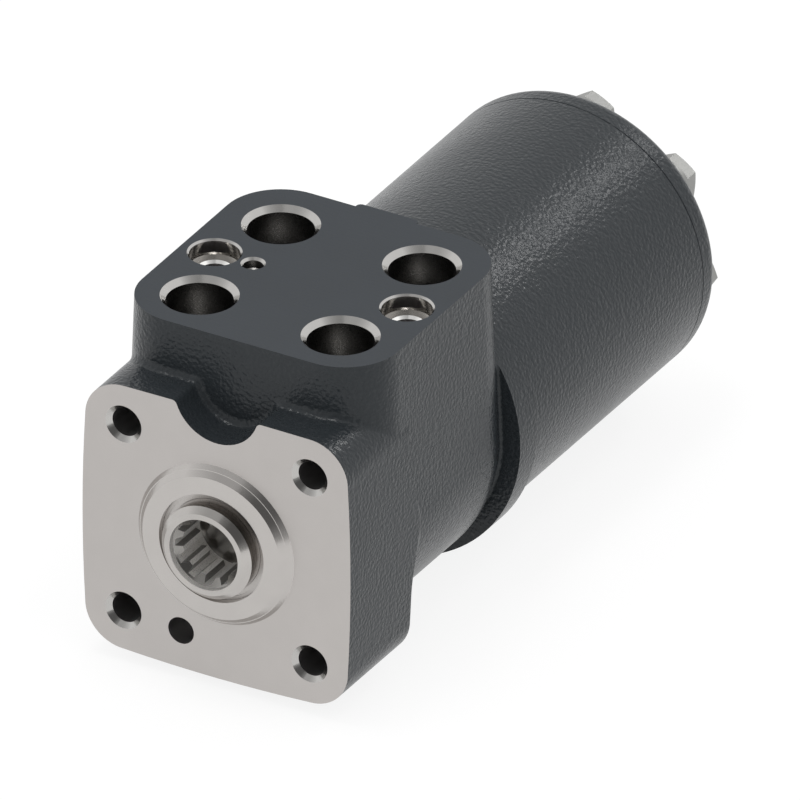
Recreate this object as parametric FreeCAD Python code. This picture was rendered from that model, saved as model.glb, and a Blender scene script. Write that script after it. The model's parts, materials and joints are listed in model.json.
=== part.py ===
import FreeCAD, Part
import math
import os
from FreeCAD import Vector

# An orbital steering unit: a valve housing with four ports on top, a rotary spool and sleeve
# inside it, and a gear metering section bolted on behind with seven screws.
# Millimetres. The origin is on the shaft axis at the face of the column flange.
# +X is right seen from the column, +Y runs back along the shaft, +Z points up out of the ports.

# Running and seating clearances
RUN_GAP = 0.03
SIDE_GAP = 0.05
SEAT_GAP = 0.05
END_GAP = 0.3
DRILL_HALF_ANGLE = 59.0
# How far a piece reaches into the one it is joined to, and a cut past the face it opens
OVERLAP = 1.0

# Column flange at the front of the housing
BOLT_SQUARE = 58.33
COLUMN_TAP_R = 4.25
COLUMN_TAP_DEPTH = 22.0
COLUMN_CHAMFER = 1.4
FLANGE_CORNER_R = 12.0
FLANGE_SIDE_BOW = 0.835
FLANGE_TOP_BOW = 0.135
FLANGE_T = 33.8
FLANGE_ROOT_R = 5.0
NOTCH_R = 13.3
NOTCH_Z = 44.8
NOTCH_MOUTH_R = 1.6
DOWEL_R = 4.03
DOWEL_X = -11.1
DOWEL_Z = -30.3
DOWEL_DEPTH = 12.0

# Pilot boss and the recess round the spool's neck
BOSS_BASE_R = 24.4
BOSS_STEP_R = 23.3
BOSS_LEDGE = 0.2
BOSS_STEP_H = 1.3
BOSS_FACE_R = 21.6
BOSS_H = 2.85
RECESS_R = 16.4

# Port block on top of the housing
PORT_FACE_Z = 57.2
PORT_SIDE_DRAFT = 1.9
PORT_FRONT_Y = 12.5
PORT_BACK_Y = 92.0
PORT_CORNER_R = 16.5
PORT_END_DRAFT = 1.9
PORT_FOOT_R = 2.2
PORT_CENTRE_SHIFT = -1.0
PORT_OFFSET = 22.1
PORT_R = 9.3
PORT_CHAMFER_R = 10.9
PORT_THREAD_DEPTH = 15.0
VALVE_BOLT_X = 30.15
VALVE_TAP_R = 4.25
VALVE_TAP_Z = 35.0
VALVE_SINK_R = 7.05
VALVE_SINK_CHAMFER = 0.55
VALVE_SINK_DEPTH = 4.7
VALVE_FLOOR_R = 5.0
VALVE_FLOOR_DROP = 0.57
LOCATOR_X = -18.1
LOCATOR_R = 2.75
LOCATOR_CHAMFER = 0.7
LOCATOR_DEPTH = 3.0
BACK_PAD_HALF = 9.5
BACK_PAD_T = 1.8
BACK_PAD_H = 9.0

# Body of the housing and the round disc at its rear
BODY_INSET = 0.1
DISC_STEP = 2.15
DISC_T = 8.9
DISC_ROOT_R = 1.0
PORT_BACK_GAP = 3.6

# Bore of the housing, its oil grooves and channels
BORE_R = 19.08
GROOVE_R = 23.0
GROOVE_W = 4.0
GROOVE_LEAD = 1.25
GROOVE_PITCH = 8.0
CHANNEL_R = 4.0
CHANNEL_END_X = 22.5
CHANNEL_END_Z = 11.0
FEED_RING_INSET = 9.6
FEED_R = 2.4
FEED_INSET = 5.7

# Seals at the spool's neck
DUST_SEAL_Y = -0.8
DUST_SEAL_W = 3.9
DUST_SEAL_STEP_R = 15.5
DUST_SEAL_STEP_H = 0.25
DUST_SEAL_SHEET = 1.2
DUST_SEAL_FLANGE = 1.4
DUST_SEAL_LIP = 0.6
SHAFT_SEAL_Y = 5.6
SHAFT_SEAL_W = 3.8
SHAFT_SEAL_GROOVE_R = 17.2
GLIDE_RING_T = 1.25

# Thrust bearing between the housing's shoulder and the sleeve
SHOULDER_Y = 12.5
RACE_T = 2.5
NEEDLE_R = 1.0
NEEDLE_COUNT = 12
INNER_RACE_T = 1.3
RACE_IN_R = 14.5
NEEDLE_INSET = 0.5
CAGE_HALF = 0.7

# Spool and sleeve
SPOOL_R = 14.1
SPOOL_FRONT_Y = -7.05
SPOOL_END_GAP = 3.6
SPOOL_CHAMFER = 1.75
SPOOL_BORE_R = 9.6
SOCKET_MOUTH_R = 10.7
SOCKET_MOUTH_L = 1.85
SPLINE_TEETH = 12
SPLINE_TIP_R = 8.7
SPLINE_ROOT_R = 10.3
SPLINE_ROOT_W = 2.0
SPLINE_TIP_W = 3.1
SPLINE_END_Y = 6.5
TIP_CUT = 0.01
SOCKET_RELIEF_R = 10.5
SOCKET_RELIEF_L = 2.5
SOCKET_WALL = 4.5
SPOOL_SLOT_W = 3.0
SPOOL_SLOT_DEPTH = 1.2
SPOOL_SLOT_END = 4.0
VALVE_SLOTS = 6
SLEEVE_HOLE_R = 1.6
FEED_HOLES = 12
DEFLECTION_ANGLE = 10.0

# Centring springs, cross pin and the ring that keeps them in
SPRING_Y = 26.5
SPRING_W = 8.0
SPRING_SLOT_H = 4.6
SPRING_LEAF_T = 0.7
SPRING_LEAF_GAP = 0.04
SPRING_LENGTH = 37.4
PIN_Y = 40.0
PIN_R = 4.0
PIN_RING_T = 1.0
PIN_RING_W = 9.0
PIN_SLIT_W = 2.0

# Gear set: seven round lobes in the rim, a six-tooth rotor inside them
LOBES = 7
LOBE_CIRCLE_R = 32.2
LOBE_R = 7.5
ORBIT_R = 3.0
RIM_WALL = 2.55
PLATE_T = 12.3
PLATE_BORE_R = 13.0
GEAR_SET_L = 81.94
COVER_T = 8.06
COVER_ROUND = 4.2
JOINT_BEVEL = 0.25
TOOTH_CURVE_POINTS = 24
TOOTH_CROWDING = 0.9
FIRST_LOBE_ANGLE = 90.0

# Cardan shaft and the spacer behind it
CARDAN_SPLINE_INSET = 42.1
CARDAN_SPLINE_L = 18.0
CARDAN_SHAFT_R = 6.5
CARDAN_HEAD_R = 8.6
CARDAN_HEAD_FRONT = 7.0
CARDAN_HEAD_BACK = 9.0
CARDAN_TAPER_L = 6.0
CARDAN_BEVEL = 1.0
FORK_GAP = 0.45
ROTOR_SPLINE_TIP_R = 10.6
ROTOR_SPLINE_ROOT_R = 12.5
ROTOR_SPLINE_ROOT_W = 3.0
ROTOR_SPLINE_TIP_W = 3.7
CARDAN_FLANK_GAP = 0.45
CARDAN_TIP_GAP = 0.5
CARDAN_CROWN = 0.5
CARDAN_ROOT_STEP = 0.5
SPACER_R = 10.3
SPACER_IN_R = 5.5
SPACER_FRONT_GAP = 2.5

# Screws through the gear set, and their washers
SCREW_R = 4.0
SCREW_HOLE_R = 4.3
SCREW_THREAD_L = 15.0
SCREW_HEAD_AF = 13.0
SCREW_HEAD_H = 5.3
SCREW_HEAD_BEVEL = 0.85
SCREW_HEAD_CHAMFER = 0.2
SCREW_TIP_BEVEL = 0.8
WASHER_R = 8.0
WASHER_T = 2.1
PIN_SCREW_WAIST_R = 3.2
PIN_SCREW_LAND = 2.0
PIN_SCREW_TAPER = 1.0
# The turn at which each head came to stand when it was tightened, from the top screw clockwise
HEAD_ANGLES = [33, 26, 56, 12, 41, 20, 7]

# O-rings between the bolted plates
ORING_WALL = 1.8
ORING_SECTION_R = 0.85
ORING_GROOVE_W = 2.2

# Check valve under the pressure port
CHECK_BORE_R = 5.2
CHECK_SEAT_Z = 26.0
CHECK_CHANNEL_R = 3.4
CHECK_BALL_R = 4.4
CHECK_TRAVEL = 2.5
CHECK_STOP_L = 4.0
CHECK_STOP_IN_R = 2.4

# Sizes that follow from the ones above
AXIS = Vector(0, 1, 0)
UP = Vector(0, 0, 1)
CORNER_REACH = BOLT_SQUARE / 2 + FLANGE_CORNER_R
FLANGE_HALF_WIDTH = CORNER_REACH + FLANGE_SIDE_BOW
FLANGE_TOP_Z = CORNER_REACH + FLANGE_TOP_BOW
# Flange, belly and port block are one casting, flush along their sides
BODY_R = FLANGE_HALF_WIDTH - BODY_INSET
PORT_HALF_WIDTH = BODY_R - PORT_SIDE_DRAFT
PORT_CENTRE_Y = (PORT_FRONT_Y + PORT_BACK_Y) / 2 + PORT_CENTRE_SHIFT
PORT_FLOOR_Z = PORT_FACE_Z - PORT_THREAD_DEPTH
HOUSING_Y = PORT_BACK_Y + PORT_BACK_GAP
DISC_Y = HOUSING_Y - DISC_T
RECESS_END_Y = DUST_SEAL_Y + DUST_SEAL_W + SEAT_GAP
NEEDLE_Y = SHOULDER_Y + RACE_T + NEEDLE_R
INNER_RACE_Y = NEEDLE_Y + NEEDLE_R
SLEEVE_FRONT_Y = INNER_RACE_Y + INNER_RACE_T + SEAT_GAP
SLEEVE_R = BORE_R - RUN_GAP
RACE_R = BORE_R - 2 * SEAT_GAP
SLEEVE_BACK_Y = HOUSING_Y - END_GAP
SPOOL_BACK_Y = HOUSING_Y - SPOOL_END_GAP
SPOOL_CAVITY_Y = SPLINE_END_Y + SOCKET_RELIEF_L + SOCKET_WALL
GROOVE_YS = [PORT_CENTRE_Y - GROOVE_LEAD + k * GROOVE_PITCH for k in range(4)]
FEED_RING_Y = HOUSING_Y - FEED_RING_INSET
FEED_CIRCLE_R = LOBE_CIRCLE_R - FEED_INSET
RIM_Y = HOUSING_Y + PLATE_T
COVER_Y = RIM_Y + GEAR_SET_L
COVER_BACK_Y = COVER_Y + COVER_T
HEAD_Y = COVER_BACK_Y + WASHER_T
ORING_CIRCLE_R = LOBE_CIRCLE_R + SCREW_HOLE_R + ORING_WALL + ORING_GROOVE_W / 2
RIM_R = ORING_CIRCLE_R + ORING_GROOVE_W / 2 + RIM_WALL
DISC_R = RIM_R + DISC_STEP
NOTCH_FLOOR_Z = NOTCH_Z - NOTCH_R
BELLY_CORNER_R = PORT_CORNER_R + PORT_END_DRAFT
BELLY_CORNER_Y = PORT_BACK_Y + PORT_END_DRAFT - BELLY_CORNER_R
BELLY_SWEEP = math.asin((DISC_Y - BELLY_CORNER_Y) / BELLY_CORNER_R)
BELLY_END_R = BODY_R - BELLY_CORNER_R * (1 - math.cos(BELLY_SWEEP))
STEP_ANGLE = 360.0 / LOBES
SCREW_ANGLES = [FIRST_LOBE_ANGLE - k * STEP_ANGLE for k in range(LOBES)]
FEED_ANGLES = [a - STEP_ANGLE / 2 for a in SCREW_ANGLES]
CARDAN_SPLINE_Y = RIM_Y + CARDAN_SPLINE_INSET
CARDAN_TILT = math.degrees(math.atan2(ORBIT_R, CARDAN_SPLINE_Y - PIN_Y))


def save(name, shape):
    """Writes one piece, or one group of equal pieces, as parts/NAME.step."""
    shape.exportStep("parts/" + name + ".step")


def rod(radius, y0, y1, x=0.0, z=0.0):
    """A round bar along the shaft direction."""
    return Part.makeCylinder(radius, y1 - y0, Vector(x, y0, z), AXIS)


def tube(outer, inner, y0, y1):
    """A ring or tube about the shaft axis."""
    return rod(outer, y0, y1).cut(rod(inner, y0 - OVERLAP, y1 + OVERLAP))


def post(radius, z0, z1, x, y):
    """An upright round bar."""
    return Part.makeCylinder(radius, z1 - z0, Vector(x, y, z0), UP)


def box(x0, x1, y0, y1, z0, z1):
    """A block between two corners."""
    return Part.makeBox(x1 - x0, y1 - y0, z1 - z0, Vector(x0, y0, z0))


def turned(points):
    """A solid turned about the shaft axis from (radius, y) points, with arcs as (mid, end) pairs."""
    edges = []
    last = Vector(points[0][0], points[0][1], 0)
    first = last
    for point in points[1:]:
        if isinstance(point[0], tuple):
            middle = Vector(point[0][0], point[0][1], 0)
            end = Vector(point[1][0], point[1][1], 0)
            edges.append(Part.Arc(last, middle, end).toShape())
        else:
            end = Vector(point[0], point[1], 0)
            edges.append(Part.LineSegment(last, end).toShape())
        last = end
    edges.append(Part.LineSegment(last, first).toShape())
    return Part.Face(Part.Wire(edges)).revolve(Vector(0, 0, 0), AXIS, 360)


def prism(points, y0, y1):
    """A straight-sided bar along the shaft direction, from (x, z) points."""
    corners = [Vector(x, y0, z) for x, z in points]
    return Part.Face(Part.makePolygon(corners + corners[:1])).extrude(Vector(0, y1 - y0, 0))


def polar(radius, degrees):
    """The (x, z) place at a radius and an angle from +X towards +Z."""
    return radius * math.cos(math.radians(degrees)), radius * math.sin(math.radians(degrees))


def spun(shape, degrees, centre=Vector(0, 0, 0)):
    """A copy turned about the shaft direction, from +X towards +Z."""
    return shape.rotated(centre, AXIS, -degrees)


def around(shape, angles):
    """Copies of a shape turned to each angle, as a list."""
    return [spun(shape, a) for a in angles]


def edges_at(shape, x, y, z):
    """The edges of a shape that pass through a place. A fillet on one runs on along all its neighbours
    that carry on smoothly."""
    place = Part.Vertex(x, y, z)
    return [edge for edge in shape.Edges if edge.distToShape(place)[0] < SEAT_GAP]


def spline_outline(root_r, tip_r, root_w, tip_w, teeth):
    """Closed (x, z) outline of grooves with straight flanks, one groove centred on +X."""
    points = []
    half_root = math.degrees(math.asin(root_w / 2 / root_r))
    half_tip = math.degrees(math.asin(tip_w / 2 / tip_r))
    for k in range(teeth):
        middle = k * 360.0 / teeth
        points.append(polar(tip_r, middle - half_tip))
        points.append(polar(root_r, middle - half_root))
        points.append(polar(root_r, middle + half_root))
        points.append(polar(tip_r, middle + half_tip))
    return points


def column_flange():
    """The square flange: bowed sides, round corners, a notch on top and a curved root on the belly."""
    b = BOLT_SQUARE / 2
    c = CORNER_REACH
    reach = FLANGE_CORNER_R * math.sqrt(0.5)
    mids = [(FLANGE_HALF_WIDTH, 0), (0, FLANGE_TOP_Z), (-FLANGE_HALF_WIDTH, 0), (0, -FLANGE_HALF_WIDTH)]
    starts = [(c, -b), (b, c), (-c, b), (-b, -c)]
    ends = [(c, b), (-b, c), (-c, -b), (b, -c)]
    corners = [(1, 1), (-1, 1), (-1, -1), (1, -1)]
    edges = []
    for k in range(4):
        side = [Vector(p[0], 0, p[1]) for p in (starts[k], mids[k], ends[k])]
        edges.append(Part.Arc(*side).toShape())
        sx, sz = corners[k]
        crown = Vector(sx * (b + reach), 0, sz * (b + reach))
        after = starts[(k + 1) % 4]
        edges.append(Part.Arc(side[2], crown, Vector(after[0], 0, after[1])).toShape())
    end = FLANGE_T + FLANGE_ROOT_R
    notch = rod(NOTCH_R, -OVERLAP, end + OVERLAP, 0, NOTCH_Z)
    block = Part.Face(Part.Wire(edges)).extrude(Vector(0, end, 0)).cut(notch)
    mouth = [e for e in block.Edges if abs(e.CenterOfMass.x) < NOTCH_R and e.CenterOfMass.z > NOTCH_FLOOR_Z
             and abs(e.tangentAt(e.FirstParameter).y) > 0.9]
    block = block.makeFillet(NOTCH_MOUTH_R, mouth)
    outer = 2 * CORNER_REACH
    reach = FLANGE_ROOT_R * (1 - math.sqrt(0.5))
    flare = turned([(0, 0), (outer, 0), (outer, FLANGE_T), (BODY_R + FLANGE_ROOT_R, FLANGE_T),
                    ((BODY_R + reach, FLANGE_T + reach), (BODY_R, end)), (0, end)])
    return block.common(flare)


def rounded_plan(side, end, z):
    """The port block's outline in plan at one height, grown by the draft of its sides and ends."""
    hx = PORT_HALF_WIDTH + side
    y0 = PORT_FRONT_Y - end
    y1 = PORT_BACK_Y + end
    r = PORT_CORNER_R + end
    d = r * (1 - math.sqrt(0.5))
    runs = [
        ((hx, y0 + r), (hx, y1 - r), (hx - d, y1 - d)),
        ((hx - r, y1), (-hx + r, y1), (-hx + d, y1 - d)),
        ((-hx, y1 - r), (-hx, y0 + r), (-hx + d, y0 + d)),
        ((-hx + r, y0), (hx - r, y0), (hx - d, y0 + d)),
    ]
    edges = []
    for k, (start, end, crown) in enumerate(runs):
        after = runs[(k + 1) % 4][0]
        a, b, m, c = [Vector(p[0], p[1], z) for p in (start, end, crown, after)]
        edges.append(Part.LineSegment(a, b).toShape())
        edges.append(Part.Arc(b, m, c).toShape())
    return Part.Wire(edges)


def port_block():
    """The drafted block under the port face, with the shallow pad on its back edge."""
    foot = rounded_plan(PORT_SIDE_DRAFT, PORT_END_DRAFT, 0)
    block = Part.makeLoft([foot, rounded_plan(0, 0, PORT_FACE_Z)], True, True)
    pad = box(-BACK_PAD_HALF, BACK_PAD_HALF, PORT_BACK_Y - BACK_PAD_T, PORT_BACK_Y + BACK_PAD_T,
              PORT_FACE_Z - BACK_PAD_H, PORT_FACE_Z)
    upright = [e for e in pad.Edges
               if abs(e.tangentAt(e.FirstParameter).z) > 0.9 and e.CenterOfMass.y > PORT_BACK_Y]
    return block.fuse(pad.makeFillet(BACK_PAD_T * 0.8, upright))


def lower_body():
    """The round belly below the port block, with the block's corner curve turned round it."""
    mid = (BODY_R - BELLY_CORNER_R * (1 - math.cos(BELLY_SWEEP / 2)),
           BELLY_CORNER_Y + BELLY_CORNER_R * math.sin(BELLY_SWEEP / 2))
    start = FLANGE_T - OVERLAP
    end = DISC_Y + OVERLAP
    return turned([(0, start), (BODY_R, start), (BODY_R, BELLY_CORNER_Y), (mid, (BELLY_END_R, DISC_Y)),
                   (BELLY_END_R, end), (0, end)])


def cast_body():
    """The casting before it is machined: flange, port block, belly and disc, with curved inner corners."""
    wall_y = PORT_FRONT_Y - PORT_END_DRAFT * (1 - NOTCH_FLOOR_Z / PORT_FACE_Z)
    upper = column_flange().fuse(port_block())
    upper = upper.makeFillet(PORT_FOOT_R, edges_at(upper, 0, wall_y, NOTCH_FLOOR_Z))
    body = upper.multiFuse([lower_body(), rod(DISC_R, DISC_Y, HOUSING_Y)])
    return body.makeFillet(DISC_ROOT_R, edges_at(body, 0, DISC_Y, -BELLY_END_R))


def pilot_boss():
    """The raised round pilot, stepped once on its cone."""
    return turned([(0, OVERLAP), (BOSS_BASE_R, OVERLAP), (BOSS_BASE_R, 0), (BOSS_STEP_R, -BOSS_STEP_H),
                   (BOSS_STEP_R - BOSS_LEDGE, -BOSS_STEP_H), (BOSS_FACE_R, -BOSS_H), (0, -BOSS_H)])


def main_bore():
    """Everything turned out of the housing along the shaft: recess, neck bore, seal groove, valve bore."""
    neck_r = SPOOL_R + 3 * SEAT_GAP
    mouth = -BOSS_H - OVERLAP
    points = [(0, mouth), (RECESS_R, mouth), (RECESS_R, RECESS_END_Y), (neck_r, RECESS_END_Y),
              (neck_r, SHAFT_SEAL_Y), (SHAFT_SEAL_GROOVE_R, SHAFT_SEAL_Y),
              (SHAFT_SEAL_GROOVE_R, SHAFT_SEAL_Y + SHAFT_SEAL_W), (neck_r, SHAFT_SEAL_Y + SHAFT_SEAL_W),
              (neck_r, SHOULDER_Y), (BORE_R, SHOULDER_Y)]
    for y in GROOVE_YS:
        points += [(BORE_R, y - GROOVE_W / 2), (GROOVE_R, y - GROOVE_W / 2),
                   (GROOVE_R, y + GROOVE_W / 2), (BORE_R, y + GROOVE_W / 2)]
    points += [(BORE_R, HOUSING_Y + OVERLAP), (0, HOUSING_Y + OVERLAP)]
    return turned(points)


def chamfered_hole(radius, chamfer, depth):
    """A blind hole along +Y from y = 0, with a countersunk mouth, or a plain one, and a drill point."""
    point = radius / math.tan(math.radians(DRILL_HALF_ANGLE))
    mouth = radius + chamfer + (OVERLAP if chamfer else 0)
    cone = [(radius + chamfer, 0), (radius, chamfer)] if chamfer else []
    return turned([(0, -OVERLAP), (mouth, -OVERLAP)] + cone + [(radius, depth), (0, depth + point)])


def sunk(hole, x, y):
    """Turns a hole that runs along +Y so that it runs down from the port face at (x, y)."""
    down = hole.rotated(Vector(0, 0, 0), Vector(1, 0, 0), -90)
    return down.translated(Vector(x, y, PORT_FACE_Z))


def column_holes():
    """Four tapped holes and one plain dowel hole in the flange face."""
    tap = chamfered_hole(COLUMN_TAP_R, COLUMN_CHAMFER, COLUMN_TAP_DEPTH)
    b = BOLT_SQUARE / 2
    holes = [tap.translated(Vector(sx * b, 0, sz * b)) for sx in (-1, 1) for sz in (-1, 1)]
    dowel = chamfered_hole(DOWEL_R, 0, DOWEL_DEPTH)
    return holes + [dowel.translated(Vector(DOWEL_X, 0, DOWEL_Z))]


def port_places():
    """The four ports as (x, y): front right, front left, back right, back left."""
    return [(sx * PORT_OFFSET, PORT_CENTRE_Y + sy * PORT_OFFSET) for sy in (-1, 1) for sx in (1, -1)]


def port_holes():
    """The threaded ports and the slanting channels down to their oil grooves."""
    holes = []
    mouth = chamfered_hole(PORT_R, PORT_CHAMFER_R - PORT_R, PORT_THREAD_DEPTH)
    for (x, y), groove_y in zip(port_places()[:3], GROOVE_YS[:3]):
        holes.append(sunk(mouth, x, y))
        start = Vector(x, y, PORT_FLOOR_Z)
        end = Vector(math.copysign(CHANNEL_END_X, x), groove_y, CHANNEL_END_Z)
        way = end - start
        holes.append(Part.makeCylinder(CHANNEL_R, way.Length, start, way))
    x, y = port_places()[3]
    holes.append(sunk(mouth, x, y))
    holes.append(post(CHECK_BORE_R, CHECK_SEAT_Z, PORT_FLOOR_Z + OVERLAP, x, y))
    holes.append(post(CHECK_CHANNEL_R, CHANNEL_END_Z, CHECK_SEAT_Z + OVERLAP, x, y))
    return holes


def valve_bolt_holes():
    """Two tapped holes with a flat-bottomed sink, for bolts of a flanged valve."""
    depth = PORT_FACE_Z - VALVE_TAP_Z
    floor = VALVE_SINK_DEPTH + VALVE_FLOOR_DROP
    tap_start = floor + VALVE_FLOOR_R - VALVE_TAP_R
    mouth_r = VALVE_SINK_R + VALVE_SINK_CHAMFER + OVERLAP
    hole = turned([(0, -OVERLAP), (mouth_r, -OVERLAP), (VALVE_SINK_R, VALVE_SINK_CHAMFER),
                   (VALVE_SINK_R, VALVE_SINK_DEPTH), (VALVE_FLOOR_R, floor), (VALVE_TAP_R, tap_start),
                   (VALVE_TAP_R, depth), (0, depth + VALVE_TAP_R / 2)])
    return [sunk(hole, side * VALVE_BOLT_X, PORT_CENTRE_Y) for side in (-1, 1)]


def feed_holes():
    """Seven drillings that carry oil from the sleeve to the pockets of the gear set."""
    along = rod(FEED_R, FEED_RING_Y, HOUSING_Y + OVERLAP, FEED_CIRCLE_R)
    start = BORE_R - FEED_R
    across = Part.makeCylinder(FEED_R, FEED_CIRCLE_R - start, Vector(start, FEED_RING_Y, 0), Vector(1, 0, 0))
    return around(along.fuse(across), FEED_ANGLES)


def ring_groove(y_face, depth_sign):
    """An O-ring groove sunk into a flat face, towards +Y or -Y."""
    depth = 2 * ORING_SECTION_R - 2 * SEAT_GAP
    y0, y1 = sorted((y_face - depth_sign, y_face + depth_sign * depth))
    return tube(ORING_CIRCLE_R + ORING_GROOVE_W / 2, ORING_CIRCLE_R - ORING_GROOVE_W / 2, y0, y1)


def housing():
    """The cast and machined valve housing."""
    body = cast_body().fuse(pilot_boss())
    screw_taps = [rod(SCREW_R, HOUSING_Y - SCREW_THREAD_L, HOUSING_Y + OVERLAP, *polar(LOBE_CIRCLE_R, a))
                  for a in SCREW_ANGLES]
    locator = sunk(chamfered_hole(LOCATOR_R, LOCATOR_CHAMFER, LOCATOR_DEPTH), LOCATOR_X, PORT_CENTRE_Y)
    cuts = [main_bore(), locator, ring_groove(HOUSING_Y, -1)]
    cuts += column_holes() + port_holes() + valve_bolt_holes() + feed_holes() + screw_taps
    return body.cut(cuts).removeSplitter()


def screw_holes(y0, y1):
    """Clearance holes for the seven long screws."""
    return [rod(SCREW_HOLE_R, y0 - OVERLAP, y1 + OVERLAP, *polar(LOBE_CIRCLE_R, a)) for a in SCREW_ANGLES]


def distributor_plate():
    """The plate between housing and gear set, with the seven feed holes."""
    feeds = [rod(FEED_R, HOUSING_Y - OVERLAP, RIM_Y + OVERLAP, *polar(FEED_CIRCLE_R, a)) for a in FEED_ANGLES]
    plate = tube(RIM_R, PLATE_BORE_R, HOUSING_Y, RIM_Y)
    return plate.cut(feeds + screw_holes(HOUSING_Y, RIM_Y) + [ring_groove(RIM_Y, -1)])


def gear_rim():
    """The fixed ring with seven round lobes standing into its cavity."""
    cavity_r = LOBE_CIRCLE_R - LOBE_R + 2 * ORBIT_R + SIDE_GAP
    lobes = [rod(LOBE_R, RIM_Y - 2 * OVERLAP, COVER_Y + 2 * OVERLAP, *polar(LOBE_CIRCLE_R, a))
             for a in SCREW_ANGLES]
    cavity = rod(cavity_r, RIM_Y - OVERLAP, COVER_Y + OVERLAP).cut(lobes)
    cuts = [cavity, ring_groove(COVER_Y, -1)] + screw_holes(RIM_Y, COVER_Y)
    ring = turned([(0, RIM_Y), (RIM_R, RIM_Y), (RIM_R, COVER_Y - JOINT_BEVEL),
                   (RIM_R - JOINT_BEVEL, COVER_Y), (0, COVER_Y)])
    return ring.cut(cuts)


def rotor_outline(y):
    """The rotor's outline: the curve that stays in touch with every lobe as the rotor orbits."""
    teeth = LOBES - 1
    radius = LOBE_R + SIDE_GAP
    ratio = LOBE_CIRCLE_R / (ORBIT_R * LOBES)
    points = []
    for k in range(TOOTH_CURVE_POINTS + 1):
        share = 2 * math.pi * k / TOOTH_CURVE_POINTS
        # The points stand closer where the curve turns fastest, at both ends of a tooth
        a = (share - TOOTH_CROWDING * math.sin(share)) / teeth
        psi = math.atan2(math.sin(-teeth * a), ratio - math.cos(teeth * a))
        x = LOBE_CIRCLE_R * math.cos(a) - radius * math.cos(a + psi) - ORBIT_R * math.cos(LOBES * a)
        z = LOBE_CIRCLE_R * math.sin(a) - radius * math.sin(a + psi) - ORBIT_R * math.sin(LOBES * a)
        points.append(Vector(x, y, z))
    across = [Vector(-math.sin(a), 0, math.cos(a)) for a in (0, 2 * math.pi / teeth)]
    tooth = Part.BSplineCurve()
    tooth.interpolate(Points=points, InitialTangent=across[0], FinalTangent=across[1])
    return Part.Wire(around(tooth.toShape(), [FIRST_LOBE_ANGLE + k * 360.0 / teeth for k in range(teeth)]))


def rotor():
    """The six-tooth gear wheel, splined through its middle, pushed into mesh with the top lobe."""
    y0 = RIM_Y + SIDE_GAP
    y1 = COVER_Y - SIDE_GAP
    wheel = Part.Face(rotor_outline(y0)).extrude(Vector(0, y1 - y0, 0))
    outline = spline_outline(ROTOR_SPLINE_ROOT_R, ROTOR_SPLINE_TIP_R, ROTOR_SPLINE_ROOT_W,
                             ROTOR_SPLINE_TIP_W, SPLINE_TEETH)
    return wheel.cut(prism(outline, y0 - OVERLAP, y1 + OVERLAP)).translated(UP * ORBIT_R)


def cardan_shaft():
    """The wobbling drive shaft: a fork on the cross pin, crowned teeth in the rotor."""
    half = CARDAN_SPLINE_L / 2
    mid_y = PIN_Y + (CARDAN_SPLINE_Y - PIN_Y) / math.cos(math.radians(CARDAN_TILT))
    root_r = ROTOR_SPLINE_TIP_R - 2 * CARDAN_TIP_GAP
    tip_r = ROTOR_SPLINE_ROOT_R - CARDAN_TIP_GAP
    nose = PIN_Y - CARDAN_HEAD_FRONT
    tail = mid_y + half + CARDAN_BEVEL
    stem = turned([(0, nose), (CARDAN_HEAD_R - CARDAN_BEVEL, nose), (CARDAN_HEAD_R, nose + CARDAN_BEVEL),
                   (CARDAN_HEAD_R, PIN_Y + CARDAN_HEAD_BACK),
                   (CARDAN_SHAFT_R, PIN_Y + CARDAN_HEAD_BACK + CARDAN_TAPER_L),
                   (CARDAN_SHAFT_R, mid_y - half - CARDAN_TAPER_L), (root_r, mid_y - half),
                   (root_r, mid_y + half), (root_r - CARDAN_BEVEL, tail), (0, tail)])
    outline = spline_outline(tip_r, root_r - CARDAN_ROOT_STEP, ROTOR_SPLINE_ROOT_W - 2 * CARDAN_FLANK_GAP,
                             ROTOR_SPLINE_TIP_W - 2 * CARDAN_FLANK_GAP, SPLINE_TEETH)
    barrel = turned([(0, mid_y - half), (tip_r - CARDAN_CROWN, mid_y - half),
                     ((tip_r, mid_y), (tip_r - CARDAN_CROWN, mid_y + half)), (0, mid_y + half)])
    teeth = prism(outline, mid_y - half, mid_y + half).common(barrel)
    slot_half = PIN_R - RUN_GAP + FORK_GAP
    reach = 2 * CARDAN_HEAD_R
    slot = box(-reach, reach, PIN_Y - 2 * CARDAN_HEAD_FRONT, PIN_Y + slot_half, -slot_half, slot_half)
    shaft = stem.fuse(teeth).cut(slot)
    return shaft.rotated(Vector(0, PIN_Y, 0), Vector(1, 0, 0), CARDAN_TILT)


def spacer_disc():
    """The loose spacer between the cardan shaft and the end cover, inside the rotor."""
    y0 = CARDAN_SPLINE_Y + CARDAN_SPLINE_L / 2 + SPACER_FRONT_GAP
    return tube(SPACER_R, SPACER_IN_R, y0, COVER_Y - END_GAP).translated(UP * ORBIT_R)


def end_cover():
    """The thick flat cover, rounded on its rear edge and bevelled where it meets the rim."""
    r = COVER_ROUND
    mid = (RIM_R - r + r * math.sqrt(0.5), COVER_BACK_Y - r + r * math.sqrt(0.5))
    cover = turned([(0, COVER_Y), (RIM_R - JOINT_BEVEL, COVER_Y), (RIM_R, COVER_Y + JOINT_BEVEL),
                    (RIM_R, COVER_BACK_Y - r), (mid, (RIM_R - r, COVER_BACK_Y)), (0, COVER_BACK_Y)])
    return cover.cut(screw_holes(COVER_Y, COVER_BACK_Y))


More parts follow.
